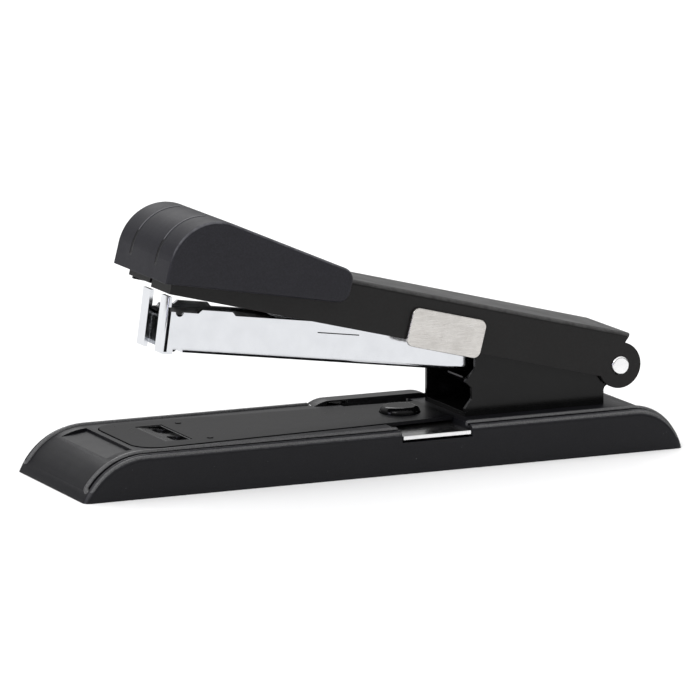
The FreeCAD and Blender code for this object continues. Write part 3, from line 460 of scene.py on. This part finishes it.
def tube(name, points, radii, outward, material, body, flat=1.0):
    """A round wire along the points, with domed ends. flat squeezes it along outward."""
    sides = 10
    dome = 0.6
    rings = []
    for index, point in enumerate(points):
        before = points[max(index - 1, 0)]
        after = points[min(index + 1, len(points) - 1)]
        forward = (after - before).normalized()
        guide = outward[index]
        across = (guide - forward * guide.dot(forward)).normalized()
        beside = forward.cross(across)
        ring = []
        for step in range(sides):
            turn = 2 * math.pi * step / sides
            ring.append(point + (across * math.cos(turn) * flat + beside * math.sin(turn)) * radii[index])
        rings.append(ring)
    first = (points[0] - points[1]).normalized() * radii[0] * dome
    last = (points[-1] - points[-2]).normalized() * radii[-1] * dome
    start = [points[0] + (corner - points[0]) * dome + first for corner in rings[0]]
    end = [points[-1] + (corner - points[-1]) * dome + last for corner in rings[-1]]
    shape = bmesh.new()
    rows = [[shape.verts.new(corner) for corner in ring] for ring in [start] + rings + [end]]
    for this, other in zip(rows, rows[1:]):
        for step in range(sides):
            after = (step + 1) % sides
            shape.faces.new((this[step], this[after], other[after], other[step]))
    shape.faces.new(rows[0])
    shape.faces.new(list(reversed(rows[-1])))
    return finish_piece(name, shape, material, body)


def finish_piece(name, shape, material, body, smooth=True):
    """The closed shape as a piece of its own, on a body and with a slot's finish."""
    bmesh.ops.recalc_face_normals(shape, faces=shape.faces)
    mesh = bpy.data.meshes.new(name)
    shape.to_mesh(mesh)
    shape.free()
    for face in mesh.polygons:
        face.use_smooth = smooth
    mesh.materials.append(material)
    piece = bpy.data.objects.new(name, mesh)
    bpy.context.collection.objects.link(piece)
    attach(piece, body)
    return piece


def on_base(reach, inset, front):
    """A point down the base's middle line, a reach along its skin from the centre, and the way out."""
    flat = FLAT_FRONT if front else FLAT_REAR
    radius = ((BASE_HALF - flat) ** 2 + RIM ** 2) / (2 * RIM)
    sign = -1 if front else 1
    if reach <= flat:
        return Vector((sign * reach, 0, RIM - inset)) * MM, Vector((0, 0, 1))
    turn = (reach - flat) / radius
    out = Vector((sign * math.sin(turn), 0, math.cos(turn)))
    return (Vector((sign * flat, 0, RIM - radius)) + out * (radius - inset)) * MM, out


def rim_bead(name, start, turn_at, side_sign, front):
    """The rolled edge: along the rim's inner line to the end, round in a U, and back along the outer one."""
    points = []
    outward = []
    radii = []
    half = (BEAD_OUTER - BEAD_INNER) / 2

    def put(reach, share):
        inset = BEAD_SUNK + (BEAD_DROP - BEAD_SUNK) * share
        place, out = on_base(reach, inset, front)
        across = BEAD_INNER + (BEAD_OUTER - BEAD_INNER) * share
        points.append(place + Vector((0, side_sign * across * MM, 0)))
        outward.append((out + Vector((0, side_sign * share * BEAD_LEAN, 0))).normalized())
        radii.append((BEAD_THICK + (BEAD_THIN - BEAD_THICK) * share) * MM)

    run_steps, turn_steps = 64, 12
    runs = [start + (turn_at - start) * step / run_steps for step in range(run_steps)]
    for reach in runs:
        put(reach, 0.0)
    for step in range(turn_steps + 1):
        turn = math.pi * step / turn_steps
        put(turn_at + half * math.sin(turn), (1 - math.cos(turn)) / 2)
    for reach in reversed(runs):
        put(reach, 1.0)
    # The beads take the lighter copy of the base's paint, a painted highlight.
    tube(name, points, radii, outward, SURFACES["bead_painted_highlight"], "base")


def rim_beads():
    """Four rolled edges: on the near side they stop at the release plate, on the far side at the grip."""
    plate_front, plate_rear = (corner[0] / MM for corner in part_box("release_plate"))
    grip_front, grip_rear = (corner[0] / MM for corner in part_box("finger_tab"))
    rim_bead("front_bead_near", -plate_front + BEAD_GAP_NEAR, BEAD_TURN_FRONT, -1, True)
    rim_bead("front_bead_far", -grip_front + BEAD_GAP_FAR, BEAD_TURN_FRONT, 1, True)
    rim_bead("rear_bead_near", plate_rear + BEAD_GAP_NEAR, BEAD_TURN_REAR, -1, False)
    rim_bead("rear_bead_far", grip_rear + BEAD_GAP_FAR, BEAD_TURN_REAR, 1, False)


def cap_lines():
    """The two fine raised lines over the front of the palm cap, in a lighter copy of the cap's plastic as a
    painted highlight.
    """
    steps = 32
    for name, sign in (("cap_line_near", -1), ("cap_line_far", 1)):
        points = []
        outward = []
        for step in range(steps + 1):
            turn = math.radians(LINE_START + (LINE_END - LINE_START) * step / steps)
            out_x, out_z = math.cos(turn), math.sin(turn)
            reach = CAP_CENTRE + CAP_RADIUS * out_x
            height = CAP_SPRING + CAP_RADIUS * out_z
            points.append(arm_point(reach, height, COVER_TILT) + Vector((0, sign * CAP_LINE * MM, 0)))
            outward.append(arm_turn(Vector((-out_x, 0, out_z)), COVER_TILT))
        radii = [LINE_RADIUS * MM] * len(points)
        tube(name, points, radii, outward, SURFACES["cap_line_painted_highlight"], "cover", flat=0.6)


def arrow(name, reach, height, pointing):
    """A thin raised arrow on the side tab's face."""
    half_shaft, half_head, head = 0.18, 0.62, 1.3
    sunk, proud = 0.05, 0.07
    tail, tip = (0.0, ARROW_LENGTH) if pointing > 0 else (ARROW_LENGTH, 0.0)
    neck = tip - head * pointing
    corners = [
        (tail, -half_shaft),
        (neck, -half_shaft),
        (neck, -half_head),
        (tip, 0.0),
        (neck, half_head),
        (neck, half_shaft),
        (tail, half_shaft),
    ]
    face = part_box("side_tab")[0][1]
    shape = bmesh.new()
    lower = []
    upper = []
    for along, up in corners:
        place = arm_point(reach - along, height + up, COVER_TILT)
        lower.append(shape.verts.new((place.x, face + sunk * MM, place.z)))
        upper.append(shape.verts.new((place.x, face - proud * MM, place.z)))
    shape.faces.new(lower)
    shape.faces.new(list(reversed(upper)))
    for index in range(len(corners)):
        after = (index + 1) % len(corners)
        shape.faces.new((lower[index], lower[after], upper[after], upper[index]))
    finish_piece(name, shape, SURFACES["tab_nickel"], "latch", smooth=False)


def pusher_coil():
    """The wound spring round the guide rod, drawn at one fixed length; on the real stapler it shortens as
    the pusher goes back.
    """
    points = []
    outward = []
    per_turn = 16
    steps = COIL_TURNS * per_turn
    for step in range(steps + 1):
        turn = 2 * math.pi * step / per_turn
        reach = COIL_FRONT + (COIL_REAR - COIL_FRONT) * step / steps
        out = Vector((0, math.cos(turn), 0)) + arm_turn(Vector((0, 0, math.sin(turn))), MAGAZINE_TILT)
        points.append(arm_point(reach, -ROD_DROP, MAGAZINE_TILT) + out * COIL_RADIUS * MM)
        outward.append(out)
    radii = [COIL_WIRE * MM] * len(points)
    surface = SURFACES["spring_steel"]
    piece = tube("pusher_coil", points, radii, outward, surface, "magazine")
    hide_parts("pusher_spring")
    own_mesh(piece)


make_camera()
make_studio()
make_surfaces()
dress_nodes()
rim_beads()
cap_lines()
pusher_coil()
arrow("open_arrow", 47.5, 1.6, -1)
arrow("close_arrow", 53.0, -1.6, 1)
